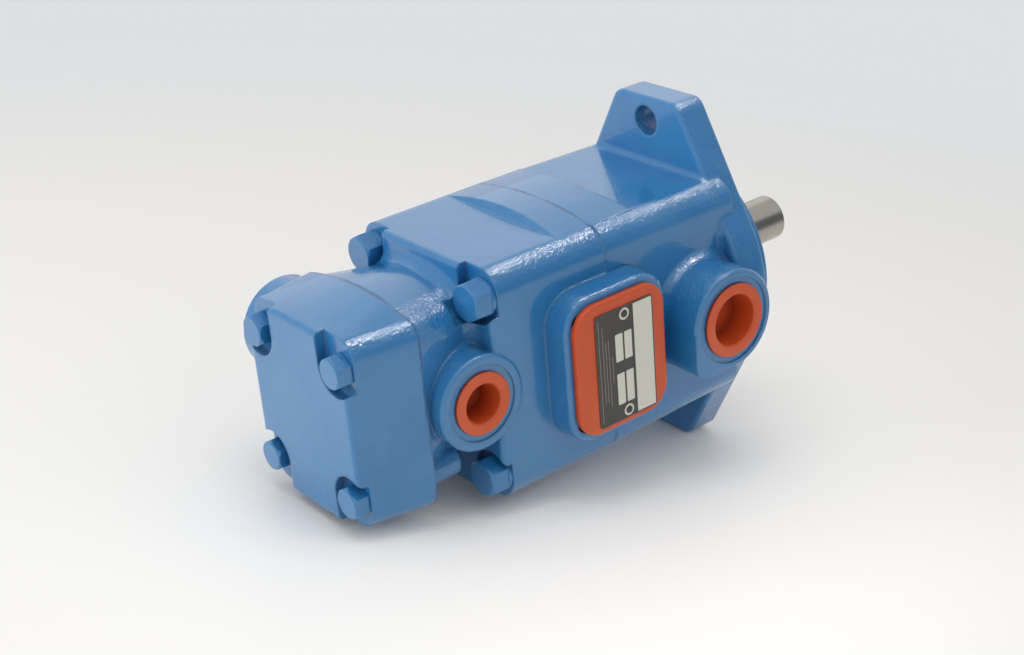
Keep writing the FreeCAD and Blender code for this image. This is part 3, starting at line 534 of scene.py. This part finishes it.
# %% [markdown]
# ## Printed panels
# The plate's print stands a few hundredths of a millimetre above the metal. Each panel is a thin tile
# with rounded corners, laid on the plate's face. A painted mask in the material could do the same, but
# a tile keeps its own edge and can be left out of another scene. All share one mesh builder: an outline
# in X and Z, given a small thickness towards the viewer.


# %% A thin rounded tile
def rounded_outline(centre_x, centre_z, half_x, half_z, radius, steps=5):
    """The points of a rounded rectangle in X and Z, with that many steps round each corner."""
    points = []
    for sx, sz, start in ((1, 1, 0), (-1, 1, 90), (-1, -1, 180), (1, -1, 270)):
        for k in range(steps + 1):
            turn = math.radians(start + 90 * k / steps)
            points.append((centre_x + sx * (half_x - radius) + radius * math.cos(turn),
                           centre_z + sz * (half_z - radius) + radius * math.sin(turn)))
    return points


def as_object(mesh, name, material):
    """The finished mesh as an object of the scene, with that material."""
    data = bpy.data.meshes.new(name)
    mesh.to_mesh(data)
    mesh.free()
    data.materials.append(material)
    piece = bpy.data.objects.new(name, data)
    bpy.context.scene.collection.objects.link(piece)
    return piece


def tile(name, outline, face_y, thickness, material):
    """A flat tile with that outline in X and Z, standing out of the face towards -Y."""
    mesh = bmesh.new()
    back = [mesh.verts.new((x, face_y, z)) for x, z in outline]
    front = [mesh.verts.new((x, face_y - thickness, z)) for x, z in outline]
    mesh.faces.new(front)
    mesh.faces.new(back[::-1])
    for k in range(len(outline)):
        n = (k + 1) % len(outline)
        mesh.faces.new((back[k], back[n], front[n], front[k]))
    bmesh.ops.recalc_face_normals(mesh, faces=mesh.faces)
    return as_object(mesh, name, material)


# %% [markdown]
# Everything printed is placed from the plate's own box, so it follows the plate when that moves.

# %% The plate's own place
plate_low, plate_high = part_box("nameplate")
plate_face = plate_low.y
PRINT = 0.04 * MM
plate_mid_z = (plate_low.z + plate_high.z) / 2
plate_height = plate_high.z - plate_low.z
print("plate from", [round(v, 4) for v in plate_low], "to", [round(v, 4) for v in plate_high])

# %% [markdown]
# One broad strip runs down the plate's right side, and two columns of two boxes stand left of it. They
# are plain pale fields.

# %% Strip and boxes
STRIP_WIDTH = 10.6 * MM
MARGIN = 0.7 * MM
PANEL_CORNER = 0.5 * MM
COLUMNS = (12.7 * MM, 17.9 * MM)
BOX_HALF_WIDTH = 2.1 * MM
ROWS = ((0.155, 0.122), (-0.215, 0.14))  # middle and half height, as shares of the plate's height
panels = {
    "plate_strip": (plate_high.x - MARGIN - STRIP_WIDTH / 2, plate_mid_z, STRIP_WIDTH / 2,
                    plate_height / 2 - MARGIN),
}
for row, (middle, half) in enumerate(ROWS):
    for column, x in enumerate(COLUMNS):
        panels[f"plate_box_{row}{column}"] = (plate_low.x + x, plate_mid_z + middle * plate_height,
                                              BOX_HALF_WIDTH, half * plate_height)
for name, (x, z, half_x, half_z) in panels.items():
    outline = rounded_outline(x, z, half_x, half_z, PANEL_CORNER)
    panel = tile(name, outline, plate_face, PRINT, panel_print)
    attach(panel, "housing")
print("panels:", len(panels))

# %% [markdown]
# Beside the boxes run a few thin printed rules, faint and of different lengths. They are plain bars,
# made like the panels.

# %% Thin rules
RULES = (  # place across the plate in mm, then half length and shift as shares of its height
    (1.6, 0.46, 0.0),
    (3.6, 0.34, 0.05),
    (5.2, 0.27, -0.02),
    (6.8, 0.3, -0.04),
    (8.6, 0.12, -0.02),
)
RULE_HALF_WIDTH = 0.16 * MM
RULE_CORNER = 0.1 * MM
for number, (x_mm, half, shift) in enumerate(RULES):
    outline = rounded_outline(plate_low.x + x_mm * MM, plate_mid_z + shift * plate_height,
                              RULE_HALF_WIDTH, half * plate_height, RULE_CORNER, 2)
    rule = tile(f"plate_rule_{number}", outline, plate_face, PRINT, rule_print)
    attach(rule, "housing")
print("rules:", len(RULES))

# %% [markdown]
# A pale ring is printed round each rivet, where a fitter would look for the hole. A ring is a flat
# washer with a hole, so it is built from two circles of points bridged face by face.


# %% Rings round the rivets
def printed_ring(name, x, z, inner, outer, face_y, thickness, material, steps=40):
    """A flat ring round one point of the face, standing out towards -Y."""
    mesh = bmesh.new()
    raised = face_y - thickness
    turns = [2 * math.pi * k / steps for k in range(steps)]
    loops = []
    for radius, y in ((inner, face_y), (inner, raised), (outer, raised), (outer, face_y)):
        places = [(x + radius * math.cos(t), y, z + radius * math.sin(t)) for t in turns]
        loops.append([mesh.verts.new(place) for place in places])
    for one, other in zip(loops, loops[1:] + loops[:1]):
        for k in range(steps):
            n = (k + 1) % steps
            mesh.faces.new((one[k], one[n], other[n], other[k]))
    bmesh.ops.recalc_face_normals(mesh, faces=mesh.faces)
    return as_object(mesh, name, material)


RING_START = 0.15 * MM
RING_END = 1.15 * MM
rivet_low, rivet_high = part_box("nameplate_rivets")
rivet_radius = (rivet_high.x - rivet_low.x) / 2
rivet_x = (rivet_low.x + rivet_high.x) / 2
for name, z in (("upper", rivet_high.z - rivet_radius), ("lower", rivet_low.z + rivet_radius)):
    ring = printed_ring(f"{name}_rivet_ring", rivet_x, z, rivet_radius + RING_START,
                        rivet_radius + RING_END, plate_face, PRINT, panel_print)
    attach(ring, "housing")
print("rivet radius in mm:", round(rivet_radius / MM, 2))

# %% [markdown]
# ## Floor
# The pump lies tipped on a table: it rests on the rear edge of its lower ear and on the rear cover's
# edge, so the floor is a plane through those two edges and is tilted in the part's frame. Seen from
# below it lets the camera through, and far from the pump it fades into the backdrop.

# %% Where the pump touches the floor
flange_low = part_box("front_body")[0]
cover_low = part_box("rear_cover")[0]
FLANGE_THICKNESS = 16 * MM
ear_edge = Vector((-FLANGE_THICKNESS, 0, flange_low.z))
cover_edge = Vector((cover_low.x, 0, cover_low.z))
slope = (cover_edge - ear_edge).normalized()
floor_up = Vector((slope.z, 0, -slope.x))
floor_tilt = math.atan2(floor_up.x, floor_up.z)
print("floor tilt in degrees:", round(math.degrees(floor_tilt), 2))

# %% [markdown]
# The table is white and satin, with a very fine grain. A disc with a soft rim serves better than a
# large plane, since no horizon line then cuts the picture.

# %% Floor finish
FLOOR = swatch(244, 242, 237)
BACKDROP = swatch(221, 224, 227)
FADE_START = 0.45
FADE_END = 1.15
FLOOR_RADIUS = 1.2


def camera_sees(tree):
    """1 for rays from the camera and for those that it sees by way of gloss or glass, and 0 for the
    diffuse rays that only carry light."""
    path = tree.nodes.new("ShaderNodeLightPath")
    seen = math_node(tree, "MAXIMUM", path.outputs["Is Camera Ray"], path.outputs["Is Glossy Ray"])
    return math_node(tree, "MAXIMUM", seen, path.outputs["Is Transmission Ray"])


floor_finish, tree, shader = new_material("floor_finish")
shader.inputs["Base Color"].default_value = FLOOR
shader.inputs["Roughness"].default_value = 0.5
shader.inputs["Specular IOR Level"].default_value = 0.3
here = add_node(tree, "ShaderNodeTexCoord").outputs["Object"]
grain = noise(tree, here, 900, 2.0)
tree.links.new(bumped(tree, grain, 0.05 * MM), shader.inputs["Normal"])
away = add_node(tree, "ShaderNodeVectorMath", {"operation": "LENGTH"})
tree.links.new(here, away.inputs[0])
fade = ramp(tree, away.outputs["Value"], FADE_START, FADE_END)
below = add_node(tree, "ShaderNodeNewGeometry").outputs["Backfacing"]
hidden = math_node(tree, "MAXIMUM", fade, math_node(tree, "MULTIPLY", below, camera_sees(tree)))
clear = tree.nodes.new("ShaderNodeBsdfTransparent")
shown = tree.nodes.new("ShaderNodeMixShader")
tree.links.new(hidden, shown.inputs[0])
tree.links.new(shader.outputs[0], shown.inputs[1])
tree.links.new(clear.outputs[0], shown.inputs[2])
tree.links.new(shown.outputs[0], tree.nodes["Material Output"].inputs["Surface"])

# %% [markdown]
# The disc lies midway between the two edges that the pump rests on, tilted to pass through both.

# %% Floor disc
floor_mesh = bmesh.new()
bmesh.ops.create_circle(floor_mesh, cap_ends=True, radius=FLOOR_RADIUS, segments=96)
floor = as_object(floor_mesh, "floor", floor_finish)
floor.matrix_world = (Matrix.Translation((ear_edge + cover_edge) / 2)
                      @ Matrix.Rotation(floor_tilt, 4, "Y"))
print("floor radius:", FLOOR_RADIUS)

# %% [markdown]
# ## Lamps and world
# The picture was lit softly from above and behind, so that the tops mirror pale light while the side
# towards the camera stays deeper. Area lamps stand in for the soft boxes. Their power is worked out
# from the brightness that their face should have, so a lamp can grow or move without changing how
# bright it looks in the paint.


# %% Soft boxes
def soft_box(name, place, size, brightness):
    """A rectangular lamp at that place, facing the pump. The brightness is that of its face."""
    lamp = bpy.data.lights.new(name, "AREA")
    lamp.shape = "RECTANGLE"
    lamp.size, lamp.size_y = size
    lamp.energy = brightness * math.pi * size[0] * size[1]
    box = bpy.data.objects.new(name, lamp)
    aim = VIEW_TARGET - Vector(place)
    box.matrix_world = (Matrix.Translation(place)
                        @ aim.to_track_quat("-Z", "Y").to_matrix().to_4x4())
    box.visible_camera = False
    bpy.context.scene.collection.objects.link(box)
    print("lamp", name, "watts", round(lamp.energy, 1))
    return box


def light_only(lamp, pieces):
    """Keeps the lamp's light to those pieces."""
    lit = bpy.data.collections.new("lit_by_" + lamp.name)
    for piece in pieces:
        lit.objects.link(piece)
    lamp.light_linking.receiver_collection = lit


# %% [markdown]
# The back box makes the broad pale sheen on the tops. The left box lights the rear faces, but is kept
# out of the gloss, because its mirror image would burn them out from other sides. The pool box hangs
# overhead and brightens the tops and the table round the pump.

# %% Broad lamps
soft_box("back_box", place=(0.65, 1.35, 0.85), size=(1.9, 1.0), brightness=0.3)
left_box = soft_box("left_box", place=(-1.45, 0.55, 0.25), size=(1.2, 0.9), brightness=4.2)
left_box.visible_glossy = False
soft_box("pool_box", place=(-0.2, -0.14, 0.82), size=(0.5, 0.5), brightness=2.4)

# %% [markdown]
# Wet-looking glints need a small and very bright lamp, high over the shaft's end. It reaches the
# castings' gloss alone: as diffuse light it would bleach everything, and on the flat screw heads it
# would make hard white spots.

# %% Glint lamp
glint_box = soft_box("glint_box", place=(1.20, 0.0, 2.66), size=(0.24, 0.24), brightness=560.0)
glint_box.visible_diffuse = False
light_only(glint_box, [piece for name, piece in frame["nodes"].items()
                       if slot_of[name] == "casting_blue"])

# %% [markdown]
# The table in front of the pump is brighter than the lamps above would leave it, as if a white card
# stood there. Its light is kept to the table, so the paint stays deep on that side.

# %% White card
card_box = soft_box("card_box", place=(-0.1, -0.22, 0.12), size=(0.34, 0.16), brightness=1.0)
light_only(card_box, [floor])

# %% [markdown]
# The room beyond the lamps is pale and even. One corner of it, ahead of the pump and to the right, is
# darker, and bare steel and rounded paint mirror it as a dark band between two light ones. What the
# room sends out as diffuse light has its own strength, apart from the backdrop that is seen.

# %% World
AMBIENT = (0.7, 0.7, 0.721, 1)
DARK_CORNER = swatch(112, 117, 126)
CORNER_WAY = (0.5, -0.86, 0.1)
CORNER_RIM = 0.86
CORNER_CORE = 0.97
world = bpy.data.worlds.new("studio")
bpy.context.scene.world = world
world.use_nodes = True
tree = world.node_tree
tree.nodes.clear()
ray_way = add_node(tree, "ShaderNodeTexCoord").outputs["Generated"]
towards = add_node(tree, "ShaderNodeVectorMath", {"operation": "DOT_PRODUCT"})
tree.links.new(ray_way, towards.inputs[0])
towards.inputs[1].default_value = CORNER_WAY
corner = ramp(tree, towards.outputs["Value"], CORNER_RIM, CORNER_CORE)
gloss_path = tree.nodes.new("ShaderNodeLightPath")
mirrored = math_node(tree, "MULTIPLY", corner, gloss_path.outputs["Is Glossy Ray"])
backdrop = mix_colour(tree, mirrored, BACKDROP, DARK_CORNER)
surround = mix_colour(tree, camera_sees(tree), AMBIENT, backdrop)
background = tree.nodes.new("ShaderNodeBackground")
tree.links.new(surround, background.inputs["Color"])
world_output = tree.nodes.new("ShaderNodeOutputWorld")
tree.links.new(background.outputs[0], world_output.inputs["Surface"])
print("world with", len(tree.nodes), "nodes")

# %% [markdown]
# The swatches are plain sRGB, so the picture is written the same way, with no film-like curve over it.

# %% Colour handling
bpy.context.scene.view_settings.view_transform = "Standard"
